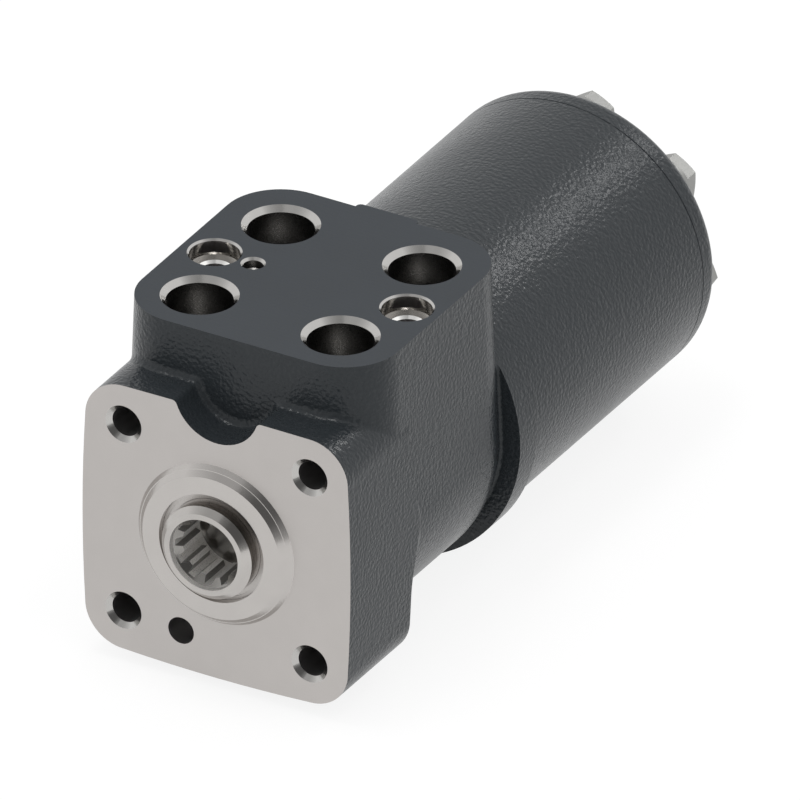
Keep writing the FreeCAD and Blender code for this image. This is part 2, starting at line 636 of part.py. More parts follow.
def hex_head(turn):
    """A hexagon head on the shaft axis, its corners bevelled at the back."""
    corner = SCREW_HEAD_AF / 2 / math.cos(math.radians(30))
    top = HEAD_Y + SCREW_HEAD_H
    head = prism([polar(corner, turn + 60 * k) for k in range(6)], HEAD_Y, top)
    outer = corner + OVERLAP
    bevel = turned([(0, HEAD_Y), (outer, HEAD_Y), (outer, top - SCREW_HEAD_BEVEL),
                    (SCREW_HEAD_AF / 2 - SCREW_HEAD_CHAMFER, top), (0, top)])
    return head.common(bevel)


def long_screw(angle, turn, waist=False):
    """One screw from the end cover into the housing, at its place on the lobe circle."""
    tip = HOUSING_Y - SCREW_THREAD_L + END_GAP
    radius = SCREW_R - SEAT_GAP
    front = HOUSING_Y + PIN_SCREW_LAND
    back = COVER_Y - PIN_SCREW_LAND
    waist_points = [(radius, front), (PIN_SCREW_WAIST_R, front + PIN_SCREW_TAPER),
                    (PIN_SCREW_WAIST_R, back - PIN_SCREW_TAPER), (radius, back)] if waist else []
    shank = turned([(0, tip), (radius - SCREW_TIP_BEVEL, tip), (radius, tip + SCREW_TIP_BEVEL)] +
                   waist_points + [(radius, HEAD_Y + OVERLAP), (0, HEAD_Y + OVERLAP)])
    x, z = polar(LOBE_CIRCLE_R, angle)
    return shank.fuse(hex_head(turn)).translated(Vector(x, 0, z))


def screws():
    """Six plain screws, and the waisted one at the top that also keys the plates."""
    plain = [long_screw(a, t) for a, t in zip(SCREW_ANGLES[1:], HEAD_ANGLES[1:])]
    return Part.makeCompound(plain), long_screw(SCREW_ANGLES[0], HEAD_ANGLES[0], True)


def washers():
    """A washer under each screw head."""
    ring = tube(WASHER_R, SCREW_HOLE_R, COVER_BACK_Y, HEAD_Y).translated(Vector(LOBE_CIRCLE_R, 0, 0))
    return Part.makeCompound(around(ring, SCREW_ANGLES))


def o_ring(y_face, depth_sign):
    """An O-ring lying in its groove, just clear of the plate that closes it."""
    section = ORING_SECTION_R - 1.5 * SEAT_GAP
    y = y_face + depth_sign * (ORING_SECTION_R - SEAT_GAP)
    return tube(ORING_CIRCLE_R + section, ORING_CIRCLE_R - section, y - section, y + section)


def dust_seal():
    """The metal-cased wiper in the recess round the spool's neck."""
    lip_r = SPOOL_R + SEAT_GAP
    step_y = DUST_SEAL_Y + DUST_SEAL_STEP_H
    web_y = DUST_SEAL_Y + DUST_SEAL_FLANGE
    end = DUST_SEAL_Y + DUST_SEAL_W
    outer = RECESS_R - SEAT_GAP
    inner = outer - DUST_SEAL_SHEET
    return turned([(lip_r, step_y), (DUST_SEAL_STEP_R, step_y), (DUST_SEAL_STEP_R, DUST_SEAL_Y),
                   (outer, DUST_SEAL_Y), (outer, end), (inner, end), (inner, web_y),
                   (lip_r + DUST_SEAL_LIP, web_y)])


def shaft_seal():
    """The glide ring on the neck and the O-ring that presses on it."""
    inner = SPOOL_R + SEAT_GAP
    middle = inner + GLIDE_RING_T
    y0 = SHAFT_SEAL_Y + SEAT_GAP
    y1 = SHAFT_SEAL_Y + SHAFT_SEAL_W - SEAT_GAP
    glide = tube(middle, inner, y0, y1)
    section = (SHAFT_SEAL_GROOVE_R - middle) / 2 - SEAT_GAP
    centre_y = (y0 + y1) / 2
    ring = tube(SHAFT_SEAL_GROOVE_R - SEAT_GAP, middle + SEAT_GAP, centre_y - section, centre_y + section)
    return glide, ring


def thrust_bearing():
    """Outer race, needle cage, needles and inner race, in a stack."""
    outer = tube(RACE_R, RACE_IN_R, SHOULDER_Y + SEAT_GAP, SHOULDER_Y + RACE_T)
    inner = tube(RACE_R, RACE_IN_R, INNER_RACE_Y, INNER_RACE_Y + INNER_RACE_T)
    start = RACE_IN_R + NEEDLE_INSET
    end = RACE_R - NEEDLE_INSET - SEAT_GAP
    needle_r = NEEDLE_R - RUN_GAP
    angles = [360.0 * k / NEEDLE_COUNT for k in range(NEEDLE_COUNT)]
    needle = Part.makeCylinder(needle_r, end - start, Vector(start, NEEDLE_Y, 0), Vector(1, 0, 0))
    pocket = box(start - SEAT_GAP, end + SEAT_GAP, NEEDLE_Y - NEEDLE_R, NEEDLE_Y + NEEDLE_R,
                 -needle_r - SEAT_GAP, needle_r + SEAT_GAP)
    cage = tube(RACE_R - SEAT_GAP, RACE_IN_R + SEAT_GAP, NEEDLE_Y - CAGE_HALF, NEEDLE_Y + CAGE_HALF)
    return outer, inner, Part.makeCompound(around(needle, angles)), cage.cut(around(pocket, angles))


def control_sleeve():
    """The rotary sleeve, with its rows of oil holes, pin hole and spring slots."""
    sleeve = tube(SLEEVE_R, SPOOL_R + RUN_GAP, SLEEVE_FRONT_Y, SLEEVE_BACK_Y)
    half = SPRING_W / 2 + 4 * SEAT_GAP
    slot = box(-BORE_R, BORE_R, SPRING_Y - half, SPRING_Y + half, -SPRING_SLOT_H / 2, SPRING_SLOT_H / 2)
    pin_hole = Part.makeCylinder(PIN_R, 2 * BORE_R, Vector(-BORE_R, PIN_Y, 0), Vector(1, 0, 0))
    ring_seat = tube(BORE_R + OVERLAP, SLEEVE_R - PIN_RING_T - SEAT_GAP,
                     PIN_Y - PIN_RING_W / 2 - SEAT_GAP, PIN_Y + PIN_RING_W / 2 + SEAT_GAP)
    cuts = [slot, pin_hole, ring_seat]
    for k, y in enumerate(GROOVE_YS):
        hole = Part.makeCylinder(SLEEVE_HOLE_R, BORE_R, Vector(0, y, 0), Vector(1, 0, 0))
        cuts += around(hole, [(n + 0.5 * (k % 2)) * 360.0 / VALVE_SLOTS for n in range(VALVE_SLOTS)])
    feed = Part.makeCylinder(SLEEVE_HOLE_R, BORE_R, Vector(0, FEED_RING_Y, 0), Vector(1, 0, 0))
    cuts += around(feed, [n * 360.0 / FEED_HOLES for n in range(FEED_HOLES)])
    return sleeve.cut(cuts)


def control_spool():
    """The rotary spool: splined socket in front, hollow behind, six oil slots along its skin."""
    cone_y = SPOOL_FRONT_Y + SOCKET_MOUTH_L
    relief_y = SPLINE_END_Y + SOCKET_RELIEF_L
    blank = turned([(0, SPOOL_FRONT_Y), (SPOOL_R - SPOOL_CHAMFER, SPOOL_FRONT_Y),
                    (SPOOL_R, SPOOL_FRONT_Y + SPOOL_CHAMFER), (SPOOL_R, SPOOL_BACK_Y), (0, SPOOL_BACK_Y)])
    front = SPOOL_FRONT_Y - OVERLAP
    socket = turned([(0, front), (SOCKET_MOUTH_R, front), (SOCKET_MOUTH_R, cone_y),
                     (SPLINE_TIP_R, cone_y + SOCKET_MOUTH_R - SPLINE_TIP_R), (SPLINE_TIP_R, SPLINE_END_Y),
                     (SOCKET_RELIEF_R, SPLINE_END_Y), (SOCKET_RELIEF_R, relief_y), (0, relief_y + OVERLAP)])
    outline = spline_outline(SPLINE_ROOT_R, SPLINE_TIP_R - TIP_CUT, SPLINE_ROOT_W, SPLINE_TIP_W, SPLINE_TEETH)
    grooves = prism(outline, front, SPLINE_END_Y)
    cavity = rod(SPOOL_BORE_R, SPOOL_CAVITY_Y, SPOOL_BACK_Y + OVERLAP)
    swing = SPOOL_R * math.sin(math.radians(DEFLECTION_ANGLE)) + PIN_R + 3 * SEAT_GAP
    pin_hole = Part.makeCylinder(swing, 2 * BORE_R, Vector(-BORE_R, PIN_Y, 0), Vector(1, 0, 0))
    half = SPRING_W / 2 + 4 * SEAT_GAP
    slot = box(-BORE_R, BORE_R, SPRING_Y - half, SPRING_Y + half, -SPRING_SLOT_H / 2, SPRING_SLOT_H / 2)
    oil_slot = box(SPOOL_R - SPOOL_SLOT_DEPTH, SPOOL_R + OVERLAP, GROOVE_YS[0] + GROOVE_PITCH / 2,
                   SPOOL_BACK_Y - SPOOL_SLOT_END, -SPOOL_SLOT_W / 2, SPOOL_SLOT_W / 2)
    angles = [(n + 0.25) * 360.0 / VALVE_SLOTS for n in range(VALVE_SLOTS)]
    return blank.cut([socket, grooves, cavity, pin_hole, slot] + around(oil_slot, angles))


def leaf(sign, bowed):
    """One leaf spring, straight or bowed, lying across the spool in the slot."""
    half = SPRING_LENGTH / 2
    y0 = SPRING_Y - SPRING_W / 2
    low = SPRING_LEAF_GAP / 2 if not bowed else SPRING_LEAF_T + 1.5 * SPRING_LEAF_GAP
    rise = SPRING_SLOT_H / 2 - SEAT_GAP - SPRING_LEAF_T - low if bowed else 0
    a, m, b = [Vector(x, y0, low + z) for x, z in ((-half, rise), (0, 0), (half, rise))]
    c, n, d = [p + UP * SPRING_LEAF_T for p in (b, m, a)]
    bottom = Part.Arc(a, m, b) if bowed else Part.LineSegment(a, b)
    top = Part.Arc(c, n, d) if bowed else Part.LineSegment(c, d)
    sides = [bottom, Part.LineSegment(b, c), top, Part.LineSegment(d, a)]
    plate = Part.Face(Part.Wire([side.toShape() for side in sides])).extrude(Vector(0, SPRING_W, 0))
    return plate if sign > 0 else plate.rotated(Vector(0, 0, 0), AXIS, 180)


def centring_springs():
    """Two flat leaves between two bowed ones, which push spool and sleeve back into line."""
    return Part.makeCompound([leaf(sign, bowed) for sign in (1, -1) for bowed in (False, True)])


def cross_pin():
    """The pin through sleeve and spool that drives the cardan shaft's fork."""
    half = math.sqrt((SLEEVE_R - PIN_RING_T) ** 2 - PIN_R ** 2) - SEAT_GAP
    return Part.makeCylinder(PIN_R - RUN_GAP, 2 * half, Vector(-half, PIN_Y, 0), Vector(1, 0, 0))


def retaining_ring():
    """The thin split ring round the sleeve that keeps the cross pin in."""
    half = PIN_RING_W / 2
    slit = PIN_SLIT_W / 2
    ring = tube(SLEEVE_R - SEAT_GAP, SLEEVE_R - PIN_RING_T, PIN_Y - half, PIN_Y + half)
    return ring.cut(box(-slit, slit, PIN_Y - PIN_RING_W, PIN_Y + PIN_RING_W, 0, 2 * BORE_R))


def check_valve():
    """The ball over the pressure channel and the bushing that stops it."""
    x, y = port_places()[3]
    rest_z = CHECK_SEAT_Z + math.sqrt(CHECK_BALL_R ** 2 - CHECK_CHANNEL_R ** 2) + SEAT_GAP
    ball = Part.makeSphere(CHECK_BALL_R, Vector(x, y, rest_z))
    stop_z = rest_z + CHECK_BALL_R + CHECK_TRAVEL + SEAT_GAP
    stop = post(CHECK_BORE_R - SEAT_GAP, stop_z, stop_z + CHECK_STOP_L, x, y)
    hole = post(CHECK_STOP_IN_R, stop_z - OVERLAP, stop_z + CHECK_STOP_L + OVERLAP, x, y)
    return ball, stop.cut(hole)


os.makedirs("parts", exist_ok=True)

plain_screws, keyed_screw = screws()
glide_ring, seal_o_ring = shaft_seal()
race_outer, race_inner, needles, needle_cage = thrust_bearing()
ball, ball_stop = check_valve()

save("housing", housing())
save("distributor_plate", distributor_plate())
save("gear_rim", gear_rim())
save("end_cover", end_cover())
save("cover_screws", plain_screws)
save("pin_screw", keyed_screw)
save("screw_washers", washers())
save("housing_o_ring", o_ring(HOUSING_Y, -1))
save("plate_o_ring", o_ring(RIM_Y, -1))
save("cover_o_ring", o_ring(COVER_Y, -1))
save("dust_seal", dust_seal())
save("shaft_glide_ring", glide_ring)
save("shaft_seal_o_ring", seal_o_ring)
save("bearing_outer_race", race_outer)
save("bearing_cage", needle_cage)
save("bearing_needles", needles)
save("bearing_inner_race", race_inner)
save("control_sleeve", control_sleeve())
save("control_spool", control_spool())
save("cross_pin", cross_pin())
save("retaining_ring", retaining_ring())
save("centring_springs", centring_springs())
save("cardan_shaft", cardan_shaft())
save("rotor", rotor())
save("spacer", spacer_disc())
save("check_ball", ball)
save("check_ball_stop", ball_stop)
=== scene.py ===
# %% [markdown]
# An orbital steering unit stands here as its maker would show it: a cast and painted valve housing
# with a bare machined column flange, four oil ports on its top face, a splined spool in its pilot
# boss and a long gear section bolted on behind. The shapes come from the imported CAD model. This
# script gives each surface its finish, and then lights and frames the whole as a studio would.

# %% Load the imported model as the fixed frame
import json
import math

import bmesh
import bpy
from mathutils import Matrix, Vector


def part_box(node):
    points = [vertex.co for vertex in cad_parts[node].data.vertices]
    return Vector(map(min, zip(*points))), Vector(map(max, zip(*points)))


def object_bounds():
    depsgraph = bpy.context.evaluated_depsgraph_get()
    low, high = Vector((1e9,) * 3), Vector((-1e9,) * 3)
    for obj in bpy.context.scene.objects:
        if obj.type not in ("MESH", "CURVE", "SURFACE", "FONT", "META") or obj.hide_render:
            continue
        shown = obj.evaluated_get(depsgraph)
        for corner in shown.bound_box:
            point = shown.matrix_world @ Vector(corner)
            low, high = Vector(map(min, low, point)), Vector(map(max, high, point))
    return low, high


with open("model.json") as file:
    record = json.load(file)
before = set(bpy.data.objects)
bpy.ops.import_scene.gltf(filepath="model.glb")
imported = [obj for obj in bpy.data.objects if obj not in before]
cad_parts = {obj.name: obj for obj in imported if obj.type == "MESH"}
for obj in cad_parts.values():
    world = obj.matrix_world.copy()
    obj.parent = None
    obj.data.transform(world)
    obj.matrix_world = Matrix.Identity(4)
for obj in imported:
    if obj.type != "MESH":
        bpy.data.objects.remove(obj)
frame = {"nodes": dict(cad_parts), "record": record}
cad_low, cad_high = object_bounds()
MM = 0.001
mounts = {mount["name"]: mount for mount in frame["record"]["mounts"]}
print("box in mm", [round(v / MM, 1) for v in (*cad_low, *cad_high)])

# %% [markdown]
# The camera comes first, because every comparison with the picture depends on it. The picture has
# no perspective: parallel edges stay parallel. So the camera is orthographic, 30 degrees round to
# the right and 30 degrees up, and one number sets how much of the object the frame takes in.

# %% Camera
AZIMUTH = math.radians(30)
ELEVATION = math.radians(30)
FRAME_WIDTH = 217.2 * MM
FRAME_CENTRE = Vector((33.4, 41.8, 33.9)) * MM
CAMERA_DISTANCE = 1.2

camera_back = Vector((math.sin(AZIMUTH) * math.cos(ELEVATION),
                      -math.cos(AZIMUTH) * math.cos(ELEVATION),
                      math.sin(ELEVATION)))
camera_data = bpy.data.cameras.new("studio_camera")
camera_data.type = "ORTHO"
camera_data.ortho_scale = FRAME_WIDTH
camera = bpy.data.objects.new("studio_camera", camera_data)
camera.location = FRAME_CENTRE + camera_back * CAMERA_DISTANCE
camera.rotation_mode = "QUATERNION"
camera.rotation_quaternion = (-camera_back).to_track_quat("-Z", "Y")
bpy.context.scene.collection.objects.link(camera)
bpy.context.scene.camera = camera
print("camera looks along", [round(-v, 3) for v in camera_back])

# %% [markdown]
# Finishes are node trees, and a tree written link by link is hard to read. Two small classes make
# it read like a formula. A Field is a number that changes over a surface, and adding or multiplying
# Fields adds the Math nodes. A Finish is one material: its add method makes any other node from its
# type, its settings and what goes into its sockets. Noise seldom leaves the range from 0.3 to 0.7, so
# two ranges are named here that stretch it to run from 0 to 1.

# %% Helpers that write shader nodes as formulas
class Field:
    """A value that changes over the surface, carried by an output socket."""

    def __init__(self, finish, socket):
        self.finish = finish
        self.socket = socket

    def _math(self, operation, a, b):
        return self.finish.add("ShaderNodeMath", {"operation": operation}, {0: a, 1: b})

    def __add__(self, other):
        return self._math("ADD", self, other)

    def __radd__(self, other):
        return self._math("ADD", other, self)

    def __sub__(self, other):
        return self._math("SUBTRACT", self, other)

    def __rsub__(self, other):
        return self._math("SUBTRACT", other, self)

    def __mul__(self, other):
        return self._math("MULTIPLY", self, other)

    def __rmul__(self, other):
        return self._math("MULTIPLY", other, self)

    def __truediv__(self, other):
        return self._math("DIVIDE", self, other)

    def __rtruediv__(self, other):
        return self._math("DIVIDE", other, self)

    def __pow__(self, other):
        return self._math("POWER", self, other)

    def __rpow__(self, other):
        return self._math("POWER", other, self)

    def between(self, low, high):
        """0 below low, 1 above high, and a straight ramp in the middle."""
        sockets = {"Value": self, "From Min": low, "From Max": high}
        return self.finish.add("ShaderNodeMapRange", {"clamp": True}, sockets)


class Finish:
    """One material, with its shader and the nodes that feed it."""

    def __init__(self, name, **constants):
        self.material = bpy.data.materials.new(name)
        self.material.use_nodes = True
        self.tree = self.material.node_tree
        self.shader = self.tree.nodes["Principled BSDF"]
        for socket, value in constants.items():
            self.shader.inputs[socket.replace("_", " ")].default_value = value
        self.place = self.add("ShaderNodeTexCoord", {}, {}, "Object")

    def add(self, kind, settings, sockets, output=0):
        """Makes a node, sets it up, fills its sockets and returns one of its outputs."""
        node = self.tree.nodes.new(kind)
        for name, value in settings.items():
            setattr(node, name, value)
        for name, value in sockets.items():
            if isinstance(value, Field):
                self.tree.links.new(value.socket, node.inputs[name])
            else:
                node.inputs[name].default_value = value
        return Field(self, node.outputs[output])

    def feed(self, socket, value):
        """Links a value to one socket of the shader."""
        self.tree.links.new(value.socket, self.shader.inputs[socket])

    def noise(self, cell, detail=2.0, roughness=0.5):
        """Cloudy noise whose lumps are about one cell across, from 0 to 1."""
        sockets = {"Vector": self.place, "Scale": 1.0 / cell, "Detail": detail, "Roughness": roughness}
        return self.add("ShaderNodeTexNoise", {}, sockets)

    def blend(self, low, high, factor):
        """A colour that runs from low to high as the factor runs from 0 to 1."""
        low_socket = low if isinstance(low, Field) else (*low, 1.0)
        sockets = {"Factor": factor, 6: low_socket, 7: (*high, 1.0)}
        return self.add("ShaderNodeMix", {"data_type": "RGBA"}, sockets, 2)

    def bump(self, height, depth):
        """Turns a height from 0 to 1 into a surface relief of that depth in metres."""
        sockets = {"Height": height, "Distance": depth, "Strength": 1.0}
        self.feed("Normal", self.add("ShaderNodeBump", {}, sockets))

    def split(self):
        """The three Object coordinates as separate values."""
        node = self.tree.nodes.new("ShaderNodeSeparateXYZ")
        self.tree.links.new(self.place.socket, node.inputs[0])
        return [Field(self, socket) for socket in node.outputs]


CLOUDY = (0.35, 0.65)
GRAINY = (0.3, 0.7)
print("noise fades over", CLOUDY, "in clouds and over", GRAINY, "in grain")

# %% [markdown]
# The housing, the gear rim and the end cover are grey iron, sand cast and painted a dark grey satin.
# Close up the paint isn't flat. The sand leaves small lumps, about a millimetre across, so that a
# highlight breaks up into short bright worms. One soft layer of noise makes the lumps, and a slow
# one varies the gloss, as a sprayed coat does where it went on thicker.

# %% Painted casting
CAST_COLOUR = (0.0255, 0.0303, 0.0343)
CAST_COLOUR_WORN = (0.0295, 0.0343, 0.0383)
CAST_ROUGHNESS = 0.25
CAST_SPECULAR = 0.27
SAND_LUMP = 1.1 * MM
CAST_RELIEF = 0.25 * MM
GLOSS_PATCH = 22 * MM
GLOSS_CHANGE = 0.05


def painted_casting():
    """Dark satin paint over a sand-cast skin."""
    paint = Finish("painted_casting", Roughness=CAST_ROUGHNESS, Specular_IOR_Level=CAST_SPECULAR)
    lumps = paint.noise(SAND_LUMP, detail=1.0, roughness=0.40)
    gloss = paint.noise(GLOSS_PATCH)
    paint.bump(lumps, CAST_RELIEF)
    paint.feed("Base Color", paint.blend(CAST_COLOUR, CAST_COLOUR_WORN, lumps.between(0.4, 0.7)))
    paint.feed("Roughness", gloss.between(*GRAINY) * GLOSS_CHANGE + CAST_ROUGHNESS)
    return paint.material


PAINTED_CASTING = painted_casting()
print("made", PAINTED_CASTING.name)

# %% [markdown]
# The top face is milled flat before it is painted, so that a valve block can seal on it. It has the
# same paint but no lumps, so it looks even. Its colour is a little bluer than the casting's: that tint
# is a painted reflection of the sky that a flat face mirrors. Only a trace of the cutter's passes shows
# through, one ripple for each step of the cutter.

# %% Painted port face
# FACE_COLOUR's bluer tint is a painted reflection, not a different paint.
FACE_COLOUR = (0.017, 0.023, 0.030)
FACE_LIGHTER = 1.08
FACE_ROUGHNESS = 0.38
FACE_SPECULAR = 0.30
FACE_RELIEF = 0.012 * MM
CUTTER_STEP = 1.6 * MM
CUTTER_SHARE = 0.10
MOTTLE_SIZE = 0.35 * MM
MOTTLE_SHARE = 0.5
MOTTLE_ROUGHNESS = 0.06
SHADE_SIZE = 18 * MM


def painted_face():
    """Smooth dark paint over a milled face."""
    paint = Finish("painted_face", Roughness=0.40, Specular_IOR_Level=FACE_SPECULAR)
    along = paint.split()[1]
    ripple = paint.add("ShaderNodeMath", {"operation": "SINE"}, {0: along * (math.tau / CUTTER_STEP)})
    mottle = paint.noise(MOTTLE_SIZE)
    paint.bump(ripple * CUTTER_SHARE + mottle * MOTTLE_SHARE, FACE_RELIEF)
    shade = paint.noise(SHADE_SIZE)
    lighter = tuple(v * FACE_LIGHTER for v in FACE_COLOUR)
    paint.feed("Base Color", paint.blend(FACE_COLOUR, lighter, shade.between(*CLOUDY)))
    paint.feed("Roughness", mottle.between(*GRAINY) * MOTTLE_ROUGHNESS + FACE_ROUGHNESS)
    return paint.material


PAINTED_FACE = painted_face()
print("made", PAINTED_FACE.name)

# %% [markdown]
# Bare metal shows how it was cut. A lathe leaves fine rings about the axis it turns on. The rings
# here are a sine of the distance from that axis plus the distance along it, so they show on a face
# and on a round wall alike. A little noise bends them, so that no two cuts are quite the same. One
# function makes the whole family, from polished to dull.

# %% Machined metal
WANDER_SIZE = 3.0 * MM
GRAIN_SIZE = 0.25 * MM
CLOUD_SIZE = 9.0 * MM
RING_WANDER = 6.0
RING_SHARE = 0.5
GRAIN_SHARE = 0.6
GRAIN_ROUGHNESS = 0.10


def machined(name, colour, roughness, axis="y", feed=0.22 * MM, relief=0.004 * MM, variation=0.08,
             metallic=1.0):
    """Bare metal turned about the shaft's axis Y, or bored along Z."""
    metal = Finish(name, Metallic=metallic, Roughness=roughness)
    x, y, z = metal.split()
    first, second, along = (x, z, y) if axis == "y" else (x, y, z)
    radius = (first * first + second * second) ** 0.5
    wander = metal.noise(WANDER_SIZE)
    turns = (radius + along) * (math.tau / feed) + wander * RING_WANDER
    rings = metal.add("ShaderNodeMath", {"operation": "SINE"}, {0: turns})
    grain = metal.noise(GRAIN_SIZE)
    cloud = metal.noise(CLOUD_SIZE, detail=3.0)
    metal.bump(rings * RING_SHARE + grain * GRAIN_SHARE, relief)
    darker = tuple(v * (1 - variation) for v in colour)
    metal.feed("Base Color", metal.blend(darker, colour, cloud.between(*CLOUDY)))
    smoothest = roughness - GRAIN_ROUGHNESS / 2
    metal.feed("Roughness", grain.between(*GRAINY) * GRAIN_ROUGHNESS + smoothest)
    return metal.material


print("the family of machined metals is ready")

# %% [markdown]
# The housing's bare places each have their own cut. The flange face is milled and dull, the boss is
# turned bright, and the edges of the holes are countersunk. The bores are darker: their colour is
# painted shade for the shadow that sits in them. The valve bolts' sinks are nearly polished, so they
# mirror the studio.

# %% Metals of the housing
FLANGE_FACE = machined("flange_face", (0.53, 0.505, 0.487), 0.42, relief=0.0010 * MM, variation=0.02)
BOSS_METAL = machined("boss_metal", (0.51, 0.488, 0.469), 0.18, feed=0.30 * MM, relief=0.0006 * MM,
                      variation=0.03)
EDGE_METAL = machined("cut_edge", (0.50, 0.49, 0.475), 0.16, relief=0.0006 * MM, variation=0.03)
# The bores' dark colour is painted shade.
BORE_SHADE_METAL = machined("bored_iron_painted_shade", (0.175, 0.171, 0.165), 0.30, axis="z", relief=0.0002 * MM)
TAP_METAL = machined("tapped_hole", (0.40, 0.39, 0.39), 0.50)
SINK_METAL = machined("sink_iron", (0.50, 0.485, 0.465), 0.14, axis="z", relief=0.0006 * MM)
# The ledge's near-white colour is a painted highlight on top of its real mirror.
CREST_HIGHLIGHT_METAL = machined("sink_edge_painted_highlight", (0.97, 0.96, 0.94), 0.10, axis="z", relief=0.0003 * MM,
                       variation=0.01)
VALVE_BORE = machined("honed_bore", (0.36, 0.35, 0.34), 0.22, relief=0.0008 * MM)
made = [FLANGE_FACE, BOSS_METAL, EDGE_METAL, BORE_SHADE_METAL, TAP_METAL, SINK_METAL, CREST_HIGHLIGHT_METAL, VALVE_BORE]
print("made", [metal.name for metal in made])

# %% [markdown]
# The spool is turned and ground bright outside. Its socket is broached: twelve straight grooves with
# a rougher finish. The socket's near-white colour is painted light that lifts it out of its own
# shade, and the teeth's darker sides are painted shade for the shadow between the teeth. The seal's
# case beside it is pressed sheet.

# %% Metals of the spool and its seal
SPOOL_STEEL = machined("turned_spool", (0.50, 0.48, 0.46), 0.16, feed=0.18 * MM, relief=0.0005 * MM)
# The socket's near-white, half-metallic colour is painted light against its own shade.
SOCKET_LIT_STEEL = machined("broached_socket_painted_light", (0.93, 0.91, 0.88), 0.30, feed=0.35 * MM, relief=0.0008 * MM,
                        metallic=0.50)
TOOTH_END = machined("tooth_end", (0.31, 0.30, 0.285), 0.22, relief=0.0008 * MM)
# The teeth's sides are darker as painted shade for the shadow between the teeth.
TOOTH_FLANK_SHADE = machined("tooth_flank_painted_shade", (0.34, 0.33, 0.32), 0.30, feed=0.35 * MM, relief=0.0008 * MM,
                       metallic=0.55)
SEAL_CASE = machined("seal_case", (0.485, 0.463, 0.445), 0.30, feed=0.4 * MM, relief=0.0008 * MM)
made = [SPOOL_STEEL, SOCKET_LIT_STEEL, TOOTH_END, TOOTH_FLANK_SHADE, SEAL_CASE]
print("made", [metal.name for metal in made])

# %% [markdown]
# The pieces inside are seen only when the unit is taken apart. Ground faces are grey, hardened races
# are bright, spring leaves are blued by their heat treatment, and the bearing's cage is brass.

# %% Metals inside
GROUND_STEEL = machined("ground_face", (0.44, 0.44, 0.44), 0.24, relief=0.0015 * MM)
BEARING_STEEL = machined("hardened_race", (0.52, 0.52, 0.52), 0.16, relief=0.0008 * MM)
SPRING_STEEL = machined("spring_leaf", (0.27, 0.27, 0.30), 0.32)
CAGE_BRASS = machined("pressed_brass", (0.58, 0.42, 0.19), 0.30)
made = [GROUND_STEEL, BEARING_STEEL, SPRING_STEEL, CAGE_BRASS]
print("made", [metal.name for metal in made])

# %% [markdown]
# The housing's rear face is ground, and the plate behind it covers most of it. The unit is painted
# after it is bolted together. So the ring that stands proud of the plate is painted like the rest,
# and the covered part stays bare. The distance from the axis tells the two apart.

# %% Joint face of the housing
JOINT_BLUR = 0.1 * MM
JOINT_BARE = (0.42, 0.42, 0.42)
JOINT_BARE_LIGHT = (0.47, 0.47, 0.46)
JOINT_CLOUD = 6 * MM


def joint_face(reach):
    """Bare iron inside the circle that a plate covers, and paint outside it."""
    face = Finish("joint_face", Roughness=0.28)
    x, _, z = face.split()
    proud = ((x * x + z * z) ** 0.5).between(reach - JOINT_BLUR, reach + JOINT_BLUR)
    cloud = face.noise(JOINT_CLOUD, detail=3.0)
    bare = face.blend(JOINT_BARE, JOINT_BARE_LIGHT, cloud.between(*CLOUDY))
    face.feed("Base Color", face.blend(bare, CAST_COLOUR, proud))
    face.feed("Metallic", 1 - proud)
    face.bump(face.noise(SAND_LUMP, detail=1.0) * proud, CAST_RELIEF)
    return face.material


RIM_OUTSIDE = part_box("gear_rim")[1].x
JOINT_FACE = joint_face(RIM_OUTSIDE)
print("joint face bare to", round(RIM_OUTSIDE / MM, 2), "mm")

# %% [markdown]
# The screws are zinc plated. Zinc is pale, soft and slightly blotchy, where the plate grew thicker
# on one side than the other. It keeps no cutting marks, so its bump is only a fine grain. Rubber and
# plastic come out of a mould and show the grain of its walls.

# %% Zinc plate, rubber and plastic
ZINC_DARK = (0.30, 0.30, 0.29)
ZINC_PALE = (0.35, 0.35, 0.34)
ZINC_ROUGHNESS = 0.46
ZINC_UNEVEN = 0.08
ZINC_BLOTCH = 4.0 * MM
ZINC_GRAIN = 0.3 * MM
ZINC_RELIEF = 0.002 * MM
MOULD_LIGHTER = 1.35
MOULD_UNEVEN = 0.15
MOULD_SMOOTHER = 0.08
MOULD_RELIEF = 0.02 * MM


def zinc_plate():
    """Pale bright plate on the screws and washers."""
    zinc = Finish("zinc_plate", Metallic=1.0, Roughness=0.50)
    blotch = zinc.noise(ZINC_BLOTCH, detail=3.0)
    grain = zinc.noise(ZINC_GRAIN)
    zinc.feed("Base Color", zinc.blend(ZINC_DARK, ZINC_PALE, blotch.between(*CLOUDY)))
    zinc.feed("Roughness", blotch.between(*GRAINY) * ZINC_UNEVEN + ZINC_ROUGHNESS)
    zinc.bump(grain, ZINC_RELIEF)
    return zinc.material


def moulded(name, colour, roughness, grain_size):
    """Rubber or plastic from a mould, with the mould's fine grain."""
    skin = Finish(name, Roughness=roughness)
    grain = skin.noise(grain_size, detail=3.0)
    lighter = tuple(v * MOULD_LIGHTER for v in colour)
    skin.feed("Base Color", skin.blend(colour, lighter, grain.between(0.35, 0.7)))
    skin.feed("Roughness", grain.between(*GRAINY) * MOULD_UNEVEN + (roughness - MOULD_SMOOTHER))
    skin.bump(grain, MOULD_RELIEF)
    return skin.material


ZINC_PLATE = zinc_plate()
SEAL_RUBBER = moulded("nitrile_rubber", (0.018, 0.018, 0.020), 0.55, 0.4 * MM)
GLIDE_PLASTIC = moulded("filled_plastic", (0.26, 0.16, 0.09), 0.45, 0.5 * MM)
print("made", ZINC_PLATE.name, SEAL_RUBBER.name, GLIDE_PLASTIC.name)

# %% [markdown]
# Most pieces have one finish all over, so a table of node names does for them. The CAD model already
# has slots of its own. They are cleared and filled again, and the mesh itself stays untouched.

